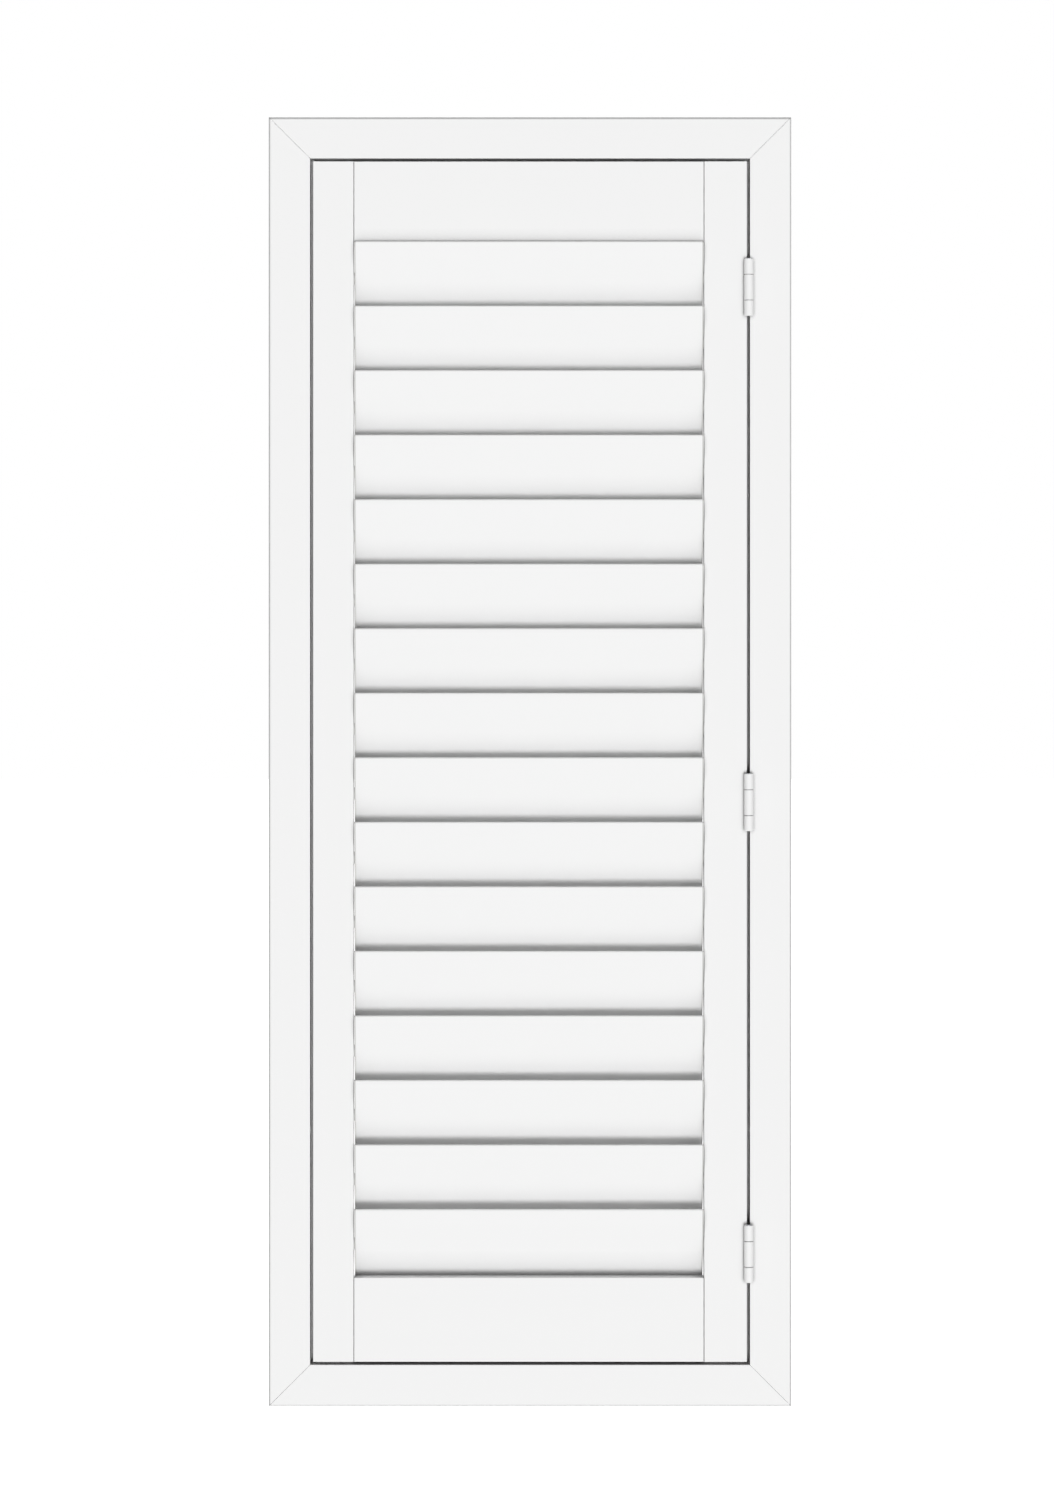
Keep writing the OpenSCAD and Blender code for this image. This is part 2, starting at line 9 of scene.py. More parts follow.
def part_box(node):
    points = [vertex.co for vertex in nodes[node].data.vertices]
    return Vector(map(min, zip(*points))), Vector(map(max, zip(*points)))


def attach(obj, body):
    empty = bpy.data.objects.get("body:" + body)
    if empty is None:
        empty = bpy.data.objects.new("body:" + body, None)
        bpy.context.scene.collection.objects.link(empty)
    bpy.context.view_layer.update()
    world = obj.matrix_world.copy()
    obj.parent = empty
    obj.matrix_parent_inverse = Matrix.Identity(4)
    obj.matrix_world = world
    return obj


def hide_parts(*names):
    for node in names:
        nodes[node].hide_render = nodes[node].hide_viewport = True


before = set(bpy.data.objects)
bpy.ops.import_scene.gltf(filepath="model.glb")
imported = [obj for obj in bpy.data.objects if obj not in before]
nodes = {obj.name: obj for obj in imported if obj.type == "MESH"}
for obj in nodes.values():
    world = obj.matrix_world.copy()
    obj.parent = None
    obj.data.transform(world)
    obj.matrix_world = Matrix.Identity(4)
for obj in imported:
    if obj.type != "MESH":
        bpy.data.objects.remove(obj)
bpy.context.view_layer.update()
bpy.ops.object.select_all(action="DESELECT")

# Frame: four lengths of one hollow aluminium extrusion, cut to mitres and pulled together at the corners.
# They are powder coated white after cutting, so the mitres show as fine lines. A grey line of painted shade
# runs along the outer arris, a little wider at the head, and grey painted shade lies in the gaps and corners.
COAT_WHITE = (0.868, 0.868, 0.866, 1)
COAT_SHADE = (0.852, 0.853, 0.853, 1)
ARRIS_SHADE = (0.5, 0.5, 0.5, 1)
ARRIS_SHADE_WIDTH = 0.002
ARRIS_SHADE_DEPTH = 0.006
ARRIS_SHADE_AT_HEAD = 0.0013
FRAME_PAINTED_SHADE = (0.3, 0.3, 0.3, 1)
FRAME_PAINTED_SHADE_REACH = 0.005
SHADE_SAMPLES = 8
CLOUD_DETAIL = 3
GRAIN_DETAIL = 2
CLOUD_SHARE = 0.5
GRAIN_SHARE = 0.5
MIX_FIRST, MIX_SECOND, MIX_RESULT = 6, 7, 2


def link(tree, source, output, target, entry):
    """Joins an output of one shader node to an input of another, each given by its name or number."""
    tree.links.new(source.outputs[output], target.inputs[entry])


def sum_node(tree, operation, kind="ShaderNodeMath"):
    """Node that works out one operation on numbers, or on vectors if its kind says so."""
    node = tree.nodes.new(kind)
    node.operation = operation
    return node


def colour_mix(tree):
    """Node that mixes two colours."""
    node = tree.nodes.new("ShaderNodeMix")
    node.data_type = "RGBA"
    return node


def new_group(name, inputs, outputs):
    """Node group with the given sockets, returned with the nodes of its inputs and outputs."""
    group = bpy.data.node_groups.new(name, "ShaderNodeTree")
    for way, sockets in (("INPUT", inputs), ("OUTPUT", outputs)):
        for label, kind in sockets:
            group.interface.new_socket(label, in_out=way, socket_type=f"NodeSocket{kind}")
    return group, group.nodes.new("NodeGroupInput"), group.nodes.new("NodeGroupOutput")


def make_surface_grain():
    """Node group: fine grain over slow cloudiness, as colour, roughness and height, in metres on the piece."""
    group, entry, leave = new_group(
        "surface_grain",
        inputs=(
            ("Light Color", "Color"),
            ("Dark Color", "Color"),
            ("Cloud Scale", "Float"),
            ("Grain Scale", "Float"),
            ("Stretch", "Vector"),
            ("Low Roughness", "Float"),
            ("High Roughness", "Float"),
        ),
        outputs=(("Color", "Color"), ("Roughness", "Float"), ("Height", "Float")),
    )
    place = group.nodes.new("ShaderNodeTexCoord")
    stretched = sum_node(group, "MULTIPLY", "ShaderNodeVectorMath")
    link(group, place, "Object", stretched, 0)
    link(group, entry, "Stretch", stretched, 1)
    cloud = group.nodes.new("ShaderNodeTexNoise")
    cloud.inputs["Detail"].default_value = CLOUD_DETAIL
    link(group, place, "Object", cloud, "Vector")
    link(group, entry, "Cloud Scale", cloud, "Scale")
    grain = group.nodes.new("ShaderNodeTexNoise")
    grain.inputs["Detail"].default_value = GRAIN_DETAIL
    link(group, stretched, "Vector", grain, "Vector")
    link(group, entry, "Grain Scale", grain, "Scale")
    cloudy = sum_node(group, "MULTIPLY")
    cloudy.inputs[1].default_value = CLOUD_SHARE
    link(group, cloud, "Fac", cloudy, 0)
    blend = sum_node(group, "MULTIPLY_ADD")
    blend.inputs[1].default_value = GRAIN_SHARE
    link(group, grain, "Fac", blend, 0)
    link(group, cloudy, "Value", blend, 2)
    colour = colour_mix(group)
    link(group, blend, "Value", colour, "Factor")
    link(group, entry, "Dark Color", colour, MIX_FIRST)
    link(group, entry, "Light Color", colour, MIX_SECOND)
    link(group, colour, MIX_RESULT, leave, "Color")
    rough = group.nodes.new("ShaderNodeMapRange")
    link(group, blend, "Value", rough, "Value")
    link(group, entry, "Low Roughness", rough, "To Min")
    link(group, entry, "High Roughness", rough, "To Max")
    link(group, rough, "Result", leave, "Roughness")
    link(group, grain, "Fac", leave, "Height")
    return group


surface_grain = make_surface_grain()


def finish_material(
    name, light, dark, roughness, cloud, grain, depth, metallic=0.0, gloss=0.5, stretch=(1, 1, 1)
):
    """Material with the grain group on colour, roughness and bump; depth is the grain's height in metres."""
    material = bpy.data.materials.new(name)
    material.use_nodes = True
    tree = material.node_tree
    shader = tree.nodes["Principled BSDF"]
    shader.inputs["Metallic"].default_value = metallic
    shader.inputs["Specular IOR Level"].default_value = gloss
    skin = tree.nodes.new("ShaderNodeGroup")
    skin.node_tree = surface_grain
    skin.inputs["Light Color"].default_value = light
    skin.inputs["Dark Color"].default_value = dark
    skin.inputs["Cloud Scale"].default_value = cloud
    skin.inputs["Grain Scale"].default_value = grain
    skin.inputs["Stretch"].default_value = stretch
    skin.inputs["Low Roughness"].default_value = roughness[0]
    skin.inputs["High Roughness"].default_value = roughness[1]
    bump = tree.nodes.new("ShaderNodeBump")
    bump.inputs["Distance"].default_value = depth
    link(tree, skin, "Color", shader, "Base Color")
    link(tree, skin, "Roughness", shader, "Roughness")
    link(tree, skin, "Height", bump, "Height")
    link(tree, bump, "Normal", shader, "Normal")
    return material


def make_crevice_shade():
    """Node group: painted shade that greys a colour where other surfaces stand close, as shade falls in gaps.
    """
    group, entry, leave = new_group(
        "crevice_shade",
        inputs=(("Color", "Color"), ("Shade Color", "Color"), ("Reach", "Float")),
        outputs=(("Color", "Color"),),
    )
    # Painted shade: how open a point is within reach mixes the colour towards the shade colour.
    open_share = group.nodes.new("ShaderNodeAmbientOcclusion")
    open_share.samples = SHADE_SAMPLES
    link(group, entry, "Reach", open_share, "Distance")
    tone = colour_mix(group)
    link(group, open_share, "AO", tone, "Factor")
    link(group, entry, "Shade Color", tone, MIX_FIRST)
    link(group, entry, "Color", tone, MIX_SECOND)
    link(group, tone, MIX_RESULT, leave, "Color")
    return group


crevice_shade = make_crevice_shade()


def paint_crevice_shade(material, colour, reach):
    """Paints shade of a colour on a material wherever another surface stands within reach of it."""
    tree = material.node_tree
    shader = tree.nodes["Principled BSDF"]
    unshaded_colour = shader.inputs["Base Color"].links[0].from_node
    painted_shade = tree.nodes.new("ShaderNodeGroup")
    painted_shade.node_tree = crevice_shade
    painted_shade.inputs["Shade Color"].default_value = colour
    painted_shade.inputs["Reach"].default_value = reach
    link(tree, unshaded_colour, "Color", painted_shade, "Color")
    link(tree, painted_shade, "Color", shader, "Base Color")


def extrusion_coat(name, painted_shade, reach):
    """Satin white powder coat of an extrusion, with its own painted shade in gaps and corners."""
    coat = finish_material(
        name, COAT_WHITE, COAT_SHADE, (0.56, 0.64), cloud=5, grain=700, depth=0.00002, gloss=0.15
    )
    paint_crevice_shade(coat, painted_shade, reach)
    return coat


def make_arris_mask():
    """Node group: 1 on the outer edges of an upright box's front and back, 0 past a width and a depth."""
    group, entry, leave = new_group(
        "arris_mask",
        inputs=(("Middle", "Vector"), ("Half Size", "Vector"), ("Width", "Float"), ("Depth", "Float")),
        outputs=(("Mask", "Float"),),
    )
    place = group.nodes.new("ShaderNodeTexCoord")
    centred = sum_node(group, "SUBTRACT", "ShaderNodeVectorMath")
    link(group, place, "Object", centred, 0)
    link(group, entry, "Middle", centred, 1)
    outwards = sum_node(group, "ABSOLUTE", "ShaderNodeVectorMath")
    link(group, centred, "Vector", outwards, 0)
    inset = sum_node(group, "SUBTRACT", "ShaderNodeVectorMath")
    link(group, entry, "Half Size", inset, 0)
    link(group, outwards, "Vector", inset, 1)
    split = group.nodes.new("ShaderNodeSeparateXYZ")
    link(group, inset, "Vector", split, "Vector")
    nearest = sum_node(group, "MINIMUM")
    link(group, split, "X", nearest, 0)
    link(group, split, "Z", nearest, 1)
    both = sum_node(group, "MULTIPLY")
    link(group, both, "Value", leave, "Mask")
    for number, (source, output, reach) in enumerate(((nearest, "Value", "Width"), (split, "Y", "Depth"))):
        fade = group.nodes.new("ShaderNodeMapRange")
        fade.interpolation_type = "SMOOTHSTEP"
        fade.inputs["To Min"].default_value = 1
        fade.inputs["To Max"].default_value = 0
        link(group, source, output, fade, "Value")
        link(group, entry, reach, fade, "From Max")
        link(group, fade, "Result", both, number)
    return group


arris_mask = make_arris_mask()


def paint_arris_shade(material, low, high, width, depth, colour):
    """Paints a grey line of shade along the outer edges of the box from low to high, as a dark outline."""
    tree = material.node_tree
    shader = tree.nodes["Principled BSDF"]
    unshaded_coat = shader.inputs["Base Color"].links[0].from_node
    edge = tree.nodes.new("ShaderNodeGroup")
    edge.node_tree = arris_mask
    edge.inputs["Middle"].default_value = (low + high) / 2
    edge.inputs["Half Size"].default_value = (high - low) / 2
    edge.inputs["Width"].default_value = width
    edge.inputs["Depth"].default_value = depth
    tone = colour_mix(tree)
    tone.inputs[MIX_SECOND].default_value = colour
    link(tree, edge, "Mask", tone, "Factor")
    link(tree, unshaded_coat, "Color", tone, MIX_FIRST)
    link(tree, tone, MIX_RESULT, shader, "Base Color")


def dress(node, material):
    """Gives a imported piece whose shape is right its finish."""
    for holder in nodes[node].material_slots:
        holder.material = material


# Painted shade in the frame's gaps and corners, within a short reach.
frame_coat = extrusion_coat("satin_white_frame_coat", FRAME_PAINTED_SHADE, FRAME_PAINTED_SHADE_REACH)
# Painted shade: a grey outline along the frame's outer arris, a little wider at the head.
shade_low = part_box("frame_sill")[0]
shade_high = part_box("frame_head")[1] - Vector((0, 0, ARRIS_SHADE_AT_HEAD))
paint_arris_shade(frame_coat, shade_low, shade_high, ARRIS_SHADE_WIDTH, ARRIS_SHADE_DEPTH, ARRIS_SHADE)
for node in ("frame_head", "frame_sill", "frame_hinge_jamb", "frame_latch_jamb"):
    dress(node, frame_coat)

# Corner cleats: hollow L-shaped joiners sawn from a length of bare aluminium extrusion.
# One sits inside each mitred corner, so only the draw lines of the extrusion need showing, along its depth.
ALUMINIUM_LIGHT = (0.80, 0.81, 0.82, 1)
ALUMINIUM_DARK = (0.64, 0.65, 0.67, 1)
DRAWN_ALONG_DEPTH = (1, 0.04, 1)
bare_aluminium = finish_material(
    "mill_finish_aluminium", ALUMINIUM_LIGHT, ALUMINIUM_DARK, (0.3, 0.46), cloud=12, grain=1400,
    depth=0.00001, metallic=1.0, stretch=DRAWN_ALONG_DEPTH
)
dress("corner_cleats", bare_aluminium)

# Stop seal: four strips of grey rubber glued to the stop fin, which the closed panel lies against.
# The strips are extruded, with soft edges and a dull, slightly powdery skin.
SMOOTH_ANGLE = math.radians(35)
FLAT_ANGLE = math.radians(0.1)
MERGE_DISTANCE = 1e-6
EDGE_STEPS = 2
SEAL_EDGE = 0.0004
RUBBER_LIGHT = (0.21, 0.21, 0.215, 1)
RUBBER_DARK = (0.14, 0.14, 0.145, 1)


def softened(node, body, material, edge):
    """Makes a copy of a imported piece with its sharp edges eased, which stands for that piece."""
    piece = bpy.data.objects.new(f"{node}_finished", nodes[node].data.copy())
    bpy.context.collection.objects.link(piece)
    bpy.ops.object.select_all(action="DESELECT")
    bpy.context.view_layer.objects.active = piece
    piece.select_set(True)
    bpy.ops.object.mode_set(mode="EDIT")
    bpy.ops.mesh.select_all(action="SELECT")
    bpy.ops.mesh.customdata_custom_splitnormals_clear()
    bpy.ops.mesh.remove_doubles(threshold=MERGE_DISTANCE)
    bpy.ops.mesh.dissolve_limited(angle_limit=FLAT_ANGLE)
    bpy.ops.object.mode_set(mode="OBJECT")
    ease = piece.modifiers.new("eased_edges", "BEVEL")
    ease.width = edge
    ease.segments = EDGE_STEPS
    ease.limit_method = "ANGLE"
    ease.angle_limit = SMOOTH_ANGLE
    ease.use_clamp_overlap = False
    bpy.ops.object.modifier_apply(modifier=ease.name)
    bpy.ops.object.shade_smooth_by_angle(angle=SMOOTH_ANGLE)
    weigh = piece.modifiers.new("flat_faces", "WEIGHTED_NORMAL")
    weigh.keep_sharp = True
    bpy.ops.object.modifier_apply(modifier=weigh.name)
    piece.data.materials.clear()
    piece.data.materials.append(material)
    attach(piece, body)
    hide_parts(node)


rubber = finish_material(
    "grey_seal_rubber", RUBBER_LIGHT, RUBBER_DARK, (0.7, 0.9), cloud=40, grain=2600, depth=0.00004, gloss=0.3
)
softened("stop_seal", "frame", rubber, SEAL_EDGE)

# Catch magnets: two sintered ferrite blocks pressed into slots of the stop fin on the latch side.
# Their edges are tumbled round and their faces are dark with a fine grain.
MAGNET_EDGE = 0.0003
FERRITE_LIGHT = (0.075, 0.075, 0.08, 1)
FERRITE_DARK = (0.035, 0.035, 0.04, 1)
ferrite = finish_material(
    "sintered_ferrite", FERRITE_LIGHT, FERRITE_DARK, (0.42, 0.62), cloud=90, grain=3200, depth=0.00003
)
softened("catch_magnets", "frame", ferrite, MAGNET_EDGE)

# Frame leaves of the hinges: pressed steel with two rolled knuckles each, screwed to the hinge jamb.
# They are coated white like the frame, a little smoother because the steel is finer than the extrusion,
# with dark painted shade behind the barrels and between the knuckles.
HINGE_EDGE = 0.00012
HINGE_PAINTED_SHADE = (0.12, 0.12, 0.12, 1)
HINGE_PAINTED_SHADE_REACH = 0.01
HINGES = ("top", "middle", "bottom")
hinge_coat = finish_material(
    "smooth_white_coat", COAT_WHITE, COAT_SHADE, (0.40, 0.48), cloud=14, grain=1100, depth=0.00001, gloss=0.2
)
# Painted shade: dark behind the barrels and between the knuckles.
paint_crevice_shade(hinge_coat, HINGE_PAINTED_SHADE, HINGE_PAINTED_SHADE_REACH)
for place in HINGES:
    softened(f"hinge_{place}_frame_leaf", "frame", hinge_coat, HINGE_EDGE)

# Hinge pins: turned steel pins with a flat head, zinc plated and dropped in from the top.
# The plating has gone dull, with the fine rings of the turning across the pin.
PIN_EDGE = 0.0002
ZINC_LIGHT = (0.52, 0.53, 0.55, 1)
ZINC_DARK = (0.38, 0.39, 0.41, 1)
RINGS_ROUND_Z = (0.05, 0.05, 1)
zinc = finish_material(
    "zinc_plated_steel", ZINC_LIGHT, ZINC_DARK, (0.26, 0.4), cloud=60, grain=1800, depth=0.000008,
    metallic=1.0, stretch=RINGS_ROUND_Z
)
for place in HINGES:
    softened(f"hinge_{place}_pin", "frame", zinc, PIN_EDGE)

# Hinge screws: zinc plated countersunk screws, three through each leaf, the frame's nine first.
# Each has a cross recess in its flat head and a rolled thread up to a blunt cone.
SCREW_SIDES = 24
HINGE_SCREW_SPAN = 0.024
HINGE_SHANK_R = 0.00175
CONE_DEPTH = 0.0015
HEAD_RIM = 0.0002
HINGE_THREAD = 0.0012
CORE_SHARE = 0.82
ROOT_SHARE = 0.3
CREST_SHARE = 0.65
RECESS_WIDTH = 0.0009
RECESS_SHARE = 0.62
RECESS_DEPTH = 0.0011
RECESS_TAPER = 0.45
FACING_SHARE = 0.9


def thread(start, end, pitch, shank):
    """Profile of a rolled thread: ridges of the shank's radius over a thinner core, as distance and radius."""
    core = shank * CORE_SHARE
    ridges = []
    for turn in range(int((end - start) / pitch)):
        low = start + turn * pitch
        ridges += [(low + pitch * ROOT_SHARE, core), (low + pitch * CREST_SHARE, shank), (low + pitch, core)]
    return ridges


def turned_screw(name, spot, way, profile):
    """Screw along X, from its head at spot towards way, through the profile's distances and radii."""
    bpy.ops.object.select_all(action="DESELECT")
    bpy.ops.mesh.primitive_circle_add(
        vertices=SCREW_SIDES, radius=profile[0][1], fill_type="NGON", location=spot,
        rotation=(0, math.radians(90), 0)
    )
    screw = bpy.context.object
    screw.name = name
    bpy.ops.object.transform_apply(location=True, rotation=True, scale=True)
    bpy.ops.object.mode_set(mode="EDIT")
    bpy.ops.mesh.select_all(action="SELECT")
    for (start, before), (end, after) in zip(profile, profile[1:]):
        step = (way * (end - start), 0, 0)
        bpy.ops.mesh.extrude_region_move(TRANSFORM_OT_translate={"value": step})
        share = after / before
        bpy.ops.transform.resize(value=(1, share, share), center_override=spot)
    bpy.ops.mesh.select_all(action="SELECT")
    bpy.ops.mesh.remove_doubles(threshold=MERGE_DISTANCE)
    bpy.ops.mesh.normals_make_consistent(inside=False)
    bpy.ops.object.mode_set(mode="OBJECT")
    return screw


def cut_recess(screw, spot, way, head_r):
    """Cuts a tapering cross into the head of a screw at spot."""
    reach = 2 * head_r * RECESS_SHARE
    for size in ((2 * RECESS_DEPTH, reach, RECESS_WIDTH), (2 * RECESS_DEPTH, RECESS_WIDTH, reach)):
        bpy.ops.object.select_all(action="DESELECT")
        bpy.ops.mesh.primitive_cube_add(size=1, location=spot, scale=size)
        wing = bpy.context.object
        bpy.ops.object.transform_apply(location=True, rotation=True, scale=True)
        bpy.ops.object.mode_set(mode="EDIT")
        bpy.ops.mesh.select_mode(type="FACE")
        bpy.ops.mesh.select_all(action="DESELECT")
        bpy.ops.object.mode_set(mode="OBJECT")
        for face in wing.data.polygons:
            face.select = face.normal.x * way > FACING_SHARE
        bpy.ops.object.mode_set(mode="EDIT")
        bpy.ops.transform.resize(value=(1, RECESS_TAPER, RECESS_TAPER), center_override=spot)
        bpy.ops.object.mode_set(mode="OBJECT")
        bpy.ops.object.select_all(action="DESELECT")
        bpy.context.view_layer.objects.active = screw
        screw.select_set(True)
        recess = screw.modifiers.new("recess", "BOOLEAN")
        recess.operation = "DIFFERENCE"
        recess.solver = "EXACT"
        recess.object = wing
        bpy.ops.object.modifier_apply(modifier=recess.name)
        bpy.data.objects.remove(wing)


def screw_set(node, body, models):
    """Joins screws, each given with the moves of its copies, into one piece that stands for a packed one."""
    members = []
    for model, moves in models:
        members.append(model)
        for move in moves:
            copy = bpy.data.objects.new(model.name, model.data.copy())
            copy.data.transform(Matrix.Translation(move))
            bpy.context.collection.objects.link(copy)
            members.append(copy)
    bpy.ops.object.select_all(action="DESELECT")
    for member in members:
        member.select_set(True)
    bpy.context.view_layer.objects.active = members[0]
    bpy.ops.object.join()
    bpy.ops.object.shade_smooth_by_angle(angle=SMOOTH_ANGLE)
    piece = bpy.context.object
    piece.name = f"{node}_finished"
    piece.data.materials.append(zinc)
    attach(piece, body)
    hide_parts(node)


def hinge_screw_set(node, body, way, leaf):
    """Nine countersunk screws in the three leaves of one side, pointing along X by way."""
    low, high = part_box(node)
    length = high.x - low.x
    head_r = (high.y - low.y) / 2
    heights = []
    for place in HINGES:
        bottom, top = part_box(f"hinge_{place}_{leaf}")
        for step in (-1, 0, 1):
            heights.append((bottom.z + top.z) / 2 + step * HINGE_SCREW_SPAN)
    profile = [(0, head_r - HEAD_RIM), (HEAD_RIM, head_r), (CONE_DEPTH, HINGE_SHANK_R)]
    profile += thread(CONE_DEPTH, length - HINGE_SHANK_R, HINGE_THREAD, HINGE_SHANK_R)
    profile += [(length, HINGE_SHANK_R / 2)]
    spot = Vector((low.x if way > 0 else high.x, (low.y + high.y) / 2, heights[0]))
    screw = turned_screw(node, spot, way, profile)
    cut_recess(screw, spot, way, head_r)
    moves = [Vector((0, 0, height - heights[0])) for height in heights[1:]]
    screw_set(node, body, [(screw, moves)])


hinge_screw_set("frame_hinge_screws", "frame", 1, "frame_leaf")

# Stiles: the two hollow uprights of the panel, sawn from one coated extrusion each.
# The latch stile is the housing of the rack, and both carry the bushes of the blades.
# The stiles carry the same painted shade in their gaps and corners.
stile_coat = extrusion_coat("satin_white_stile_coat", FRAME_PAINTED_SHADE, FRAME_PAINTED_SHADE_REACH)
for node in ("hinge_stile", "latch_stile"):
    dress(node, stile_coat)

# Rails: two hollow extrusions with inner webs, sawn square, coated and set between the stiles.
# The sawn ends are eased, so each joint with a stile shows as a fine line. Painted shade lies above the first
# blade.
RAIL_EDGE = 0.0003
RAIL_PAINTED_SHADE = (0.12, 0.12, 0.12, 1)
RAIL_PAINTED_SHADE_REACH = 0.016
# Painted shade above the first blade and in the rails' gaps.
rail_coat = extrusion_coat("satin_white_rail_coat", RAIL_PAINTED_SHADE, RAIL_PAINTED_SHADE_REACH)
for node in ("top_rail", "bottom_rail"):
    softened(node, "panel", rail_coat, RAIL_EDGE)

# Rail screws: pan-headed zinc plated screws driven from inside the stiles into the rails' round ports.
# Two at each end of each rail; their heads can be seen through the driver holes.
RAIL_SHANK_R = 0.0024
RAIL_SHANK_L = 0.032
RAIL_HEAD_H = 0.0026
RAIL_THREAD = 0.0018
PAN_RIM = 0.0007
low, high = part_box("rail_screws")
head_r = (high.y - low.y) / 2
rail_screw_l = RAIL_HEAD_H + RAIL_SHANK_L
profile = [(0, head_r - 2 * PAN_RIM), (PAN_RIM / 2, head_r - PAN_RIM / 2), (PAN_RIM, head_r)]
profile += [(RAIL_HEAD_H, head_r), (RAIL_HEAD_H, RAIL_SHANK_R)]
profile += thread(RAIL_HEAD_H, rail_screw_l - RAIL_SHANK_R, RAIL_THREAD, RAIL_SHANK_R)
profile += [(rail_screw_l, RAIL_SHANK_R / 3)]
heights = []
for node in ("bottom_rail", "top_rail"):
    bottom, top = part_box(node)
    heights += [bottom.z + (top.z - bottom.z) * third / 3 for third in (1, 2)]
moves = [Vector((0, 0, height - heights[0])) for height in heights[1:]]
models = []
for way, end in ((1, low.x), (-1, high.x)):
    spot = Vector((end, (low.y + high.y) / 2, heights[0]))
    screw = turned_screw("rail_screw", spot, way, profile)
    cut_recess(screw, spot, way, head_r)
    models.append((screw, moves))
screw_set("rail_screws", "panel", models)

# Bushes: moulded nylon bushes with a thin flange, pressed into the stiles' inner walls.
# The nylon is a natural, greyish white with a faint warm flow pattern and a soft sheen.
NYLON_LIGHT = (0.66, 0.657, 0.645, 1)
NYLON_DARK = (0.58, 0.576, 0.565, 1)
nylon = finish_material(
    "moulded_white_nylon", NYLON_LIGHT, NYLON_DARK, (0.38, 0.5), cloud=110, grain=2000, depth=0.00001,
    gloss=0.25
)
for node in ("hinge_stile_bushes", "latch_stile_bushes"):
    dress(node, nylon)

# Tilt rack: a toothed nylon strip that slides inside the latch stile and turns all the blades together.
# It is moulded in the same nylon as the bushes.
dress("tilt_rack", nylon)

# Blades: sixteen hollow lens-shaped aluminium extrusions, sawn to length and coated like the frame.
# Each turns on the nylon caps that close its ends. A little painted shade lies where the next blade covers it.
BLADE_EDGE = 0.0002
BLADE_PAINTED_SHADE = (0.65, 0.65, 0.65, 1)
BLADE_PAINTED_SHADE_REACH = 0.03
BLADES = [f"louvre_{number:02d}" for number in range(1, 17)]
# Painted shade where the next blade covers each blade.
blade_coat = extrusion_coat("satin_white_blade_coat", BLADE_PAINTED_SHADE, BLADE_PAINTED_SHADE_REACH)
for blade in BLADES:
    softened(blade, blade, blade_coat, BLADE_EDGE)

# Blade fittings: on each blade an idle cap with a round spindle, a drive cap with a square drive, and its
# pinion. They are moulded nylon, plugged into the blade's middle cell.
for blade in BLADES:
    dress(f"{blade}_fittings", nylon)

# Panel leaves of the hinges: pressed steel with one rolled knuckle each, between the frame leaf's two.
# They are coated with the frame leaves and screwed to the edge of the hinge stile.
for place in HINGES:
    softened(f"hinge_{place}_panel_leaf", "panel", hinge_coat, HINGE_EDGE)
hinge_screw_set("panel_hinge_screws", "panel", -1, "panel_leaf")

# Strike plates: two thin zinc plated steel plates on the back of the latch stile, which the magnets hold.
# They are blanked from sheet, with the edges just broken.
PLATE_EDGE = 0.00012
softened("catch_plates", "panel", zinc, PLATE_EDGE)

# Floor: a plain pale studio floor, well below the sill because the shutter hangs at window height.
# Seen directly it is white, and it keeps the soft shadow of the shutter.
FLOOR_DROP = 0.85
FLOOR_SIZE = 60
FLOOR_SEEN = (0.9, 0.9, 0.9, 1)
FLOOR_THROWN = (0.1, 0.1, 0.1, 1)
FLOOR_LIFT = 0.75
FLOOR_ROUGHNESS = 0.9


def seen_directly(tree):
    """Node that is 1 for what the camera sees, also in a reflection or through glass, and 0 for other light."""
    path = tree.nodes.new("ShaderNodeLightPath")
    source, output = path, "Is Camera Ray"
    for kind in ("Is Glossy Ray", "Is Transmission Ray"):
        either = sum_node(tree, "MAXIMUM")
        link(tree, source, output, either, 0)
        link(tree, path, kind, either, 1)
        source, output = either, "Value"
    return either


bpy.ops.object.select_all(action="DESELECT")
bpy.ops.mesh.primitive_plane_add(size=FLOOR_SIZE, location=(0, 0, -FLOOR_DROP))
floor = bpy.context.object
floor.name = "studio_floor"
floor.visible_shadow = False
floor.visible_diffuse = False
pale = bpy.data.materials.new("pale_floor")
pale.use_nodes = True
tree = pale.node_tree
shader = tree.nodes["Principled BSDF"]
shader.inputs["Roughness"].default_value = FLOOR_ROUGHNESS
shader.inputs["Specular IOR Level"].default_value = 0
shader.inputs["Emission Color"].default_value = (1, 1, 1, 1)
seen = seen_directly(tree)
tone = colour_mix(tree)
tone.inputs[MIX_FIRST].default_value = FLOOR_THROWN
tone.inputs[MIX_SECOND].default_value = FLOOR_SEEN
link(tree, seen, "Value", tone, "Factor")
link(tree, tone, MIX_RESULT, shader, "Base Color")
lift = sum_node(tree, "MULTIPLY")
lift.inputs[1].default_value = FLOOR_LIFT
link(tree, seen, "Value", lift, 0)
link(tree, lift, "Value", shader, "Emission Strength")
floor.data.materials.append(pale)

# Light: a wide soft dome, brightest in front, and a softbox in front, low and a little to the right.
# Two weaker softboxes behind and above light the back and the sides. The camera and reflections see the
# surround as plain white.
DOME_LEVEL = 0.175
DOME_LEAN = (0.04, -0.4, -0.01)
DOME_LEAST = 0.05
LAMP_SPREAD = math.radians(20)
scene = bpy.context.scene
scene.view_settings.view_transform = "Standard"
world = bpy.data.worlds.new("studio")
scene.world = world
world.use_nodes = True
tree = world.node_tree
back = tree.nodes["Background"]
back.inputs["Color"].default_value = (1, 1, 1, 1)
way = tree.nodes.new("ShaderNodeTexCoord")
facing = sum_node(tree, "DOT_PRODUCT", "ShaderNodeVectorMath")
facing.inputs[1].default_value = DOME_LEAN
link(tree, way, "Generated", facing, 0)
lit = sum_node(tree, "ADD")
lit.inputs[1].default_value = DOME_LEVEL
link(tree, facing, "Value", lit, 0)
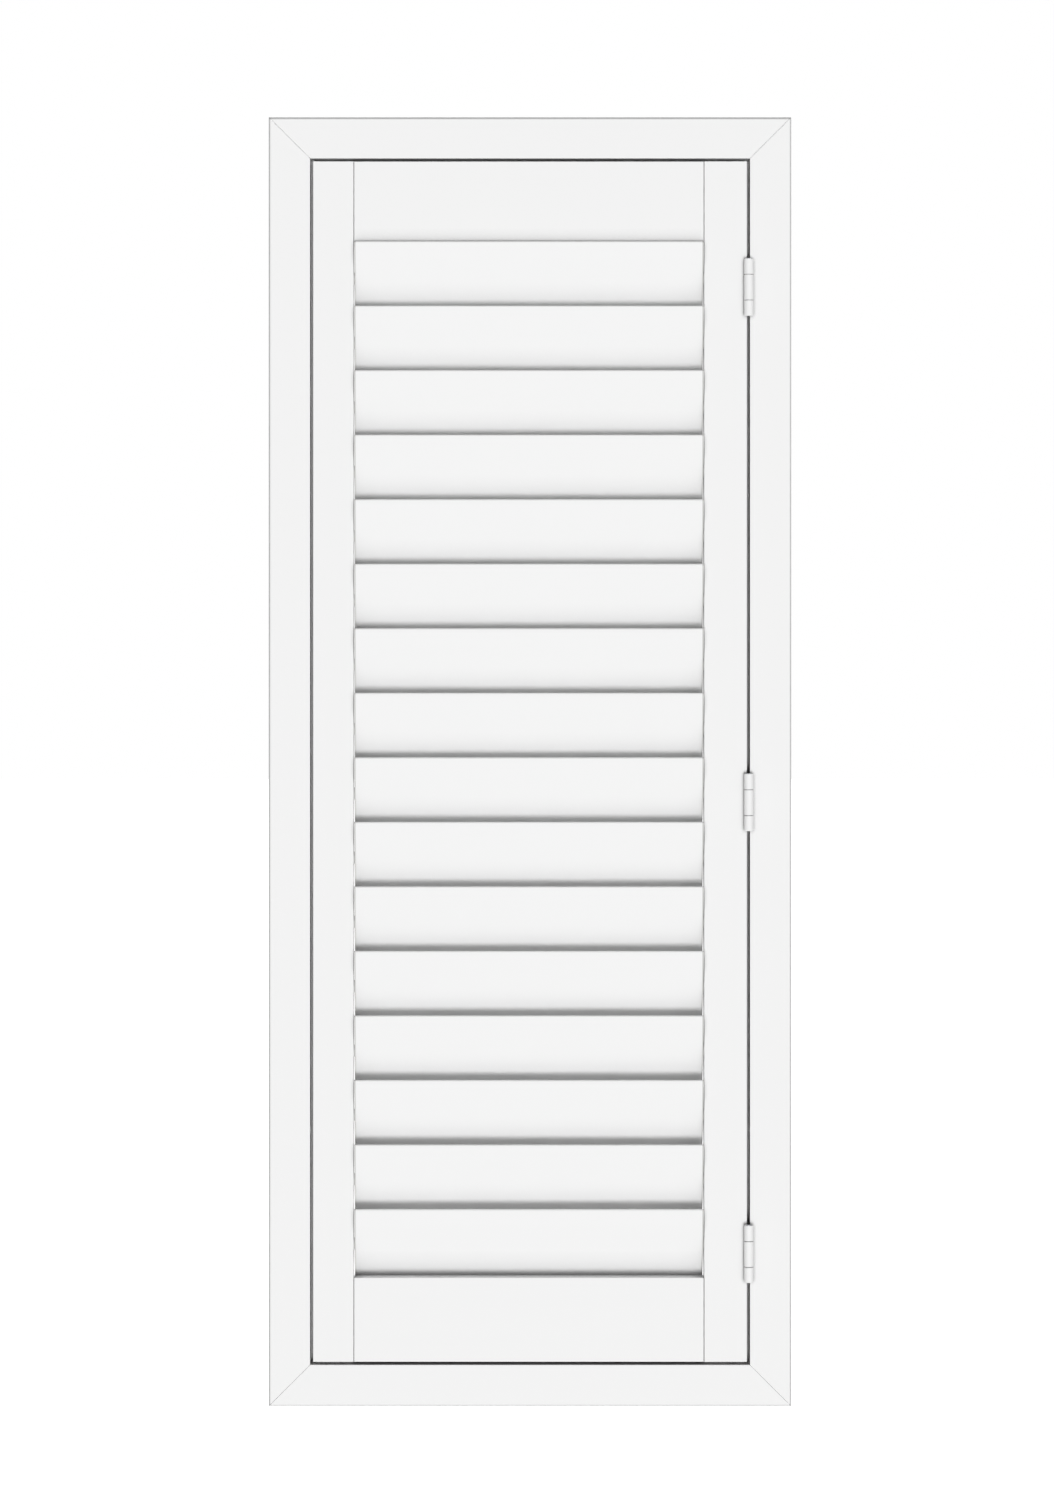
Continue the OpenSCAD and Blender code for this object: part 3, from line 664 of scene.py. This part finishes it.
kept = sum_node(tree, "MAXIMUM")
kept.inputs[1].default_value = DOME_LEAST
link(tree, lit, "Value", kept, 0)
level = tree.nodes.new("ShaderNodeMix")
level.inputs["B"].default_value = 1
link(tree, seen_directly(tree), "Value", level, "Factor")
link(tree, kept, "Value", level, "A")
link(tree, level, "Result", back, "Strength")


def soft_lamp(name, level, turn, rise):
    """Broad even lamp: level is what a white face turned to it renders as, turn and rise are its place."""
    lamp = bpy.data.lights.new(name, "SUN")
    lamp.energy = level * math.pi
    lamp.angle = LAMP_SPREAD
    holder = bpy.data.objects.new(name, lamp)
    scene.collection.objects.link(holder)
    t, r = math.radians(turn), math.radians(rise)
    stand = Vector((math.sin(t) * math.cos(r), -math.cos(t) * math.cos(r), math.sin(r)))
    holder.rotation_mode = "QUATERNION"
    holder.rotation_quaternion = stand.to_track_quat("Z", "Y")


soft_lamp("front_softbox", level=0.605, turn=4, rise=-14)
soft_lamp("back_right_softbox", level=0.42, turn=140, rise=42)
soft_lamp("back_left_softbox", level=0.36, turn=210, rise=42)

# Camera: level and square to the front, a little left of the middle and above it, as in the photograph.
# The lens is shifted, so that the sill and the middle of the frame fall where the photograph has them.
LENS = 96.69
SENSOR = 36
DISTANCE = 4.6
EYE_X = -0.05
EYE_Z = 0.96
PHOTO_LONG = 1492
PIXEL = 0.0011486
PHOTO_MIDDLE = (527, 746)
OBJECT_MIDDLE_X = 530.0
SILL_Y = 1405.8
view = bpy.data.cameras.new("front_view")
view.sensor_width = SENSOR
view.lens = LENS
eye_px = (OBJECT_MIDDLE_X + EYE_X / PIXEL, SILL_Y - EYE_Z / PIXEL)
view.shift_x = (PHOTO_MIDDLE[0] - eye_px[0]) / PHOTO_LONG
view.shift_y = (eye_px[1] - PHOTO_MIDDLE[1]) / PHOTO_LONG
camera = bpy.data.objects.new("front_view", view)
camera.location = (EYE_X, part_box("frame_head")[0].y - DISTANCE, EYE_Z)
camera.rotation_euler = (math.radians(90), 0, 0)
scene.collection.objects.link(camera)
scene.camera = camera
